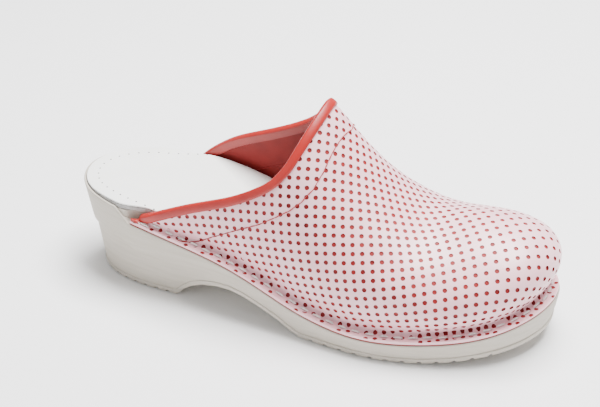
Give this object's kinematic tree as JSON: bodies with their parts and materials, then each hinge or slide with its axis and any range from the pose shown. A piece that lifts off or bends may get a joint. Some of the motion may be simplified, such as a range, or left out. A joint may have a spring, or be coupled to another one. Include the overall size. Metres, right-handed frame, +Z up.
{
  "type": "clog",
  "caption": "Closed-toe, open-back clog for the right foot: stiff leather upper with a bound collar, stitched to the ledge of a moulded one-piece heeled sole, with a leather-faced insole.",
  "frame": {"origin": "middle of the bottom of the whole clog, on the floor that it stands on", "axes": "+X from heel to toe, +Y to the inner side of the right foot, +Z up"},
  "size_m": [0.264, 0.101, 0.1144],
  "materials": {
    "sole": "matt moulded polyurethane, warm light grey, with faint streaks",
    "board": "rough cut edge",
    "insole": "matt white leather with pinholes",
    "upper": "semi-gloss pale pink-white leather with a lattice of round red dots",
    "binding": "semi-gloss red leather"
  },
  "bodies": {
    "root": {"sole": "sole", "insole_board": "board", "insole_cover": "insole", "upper": "upper", "collar_binding": "binding"}
  },
  "joints": []
}
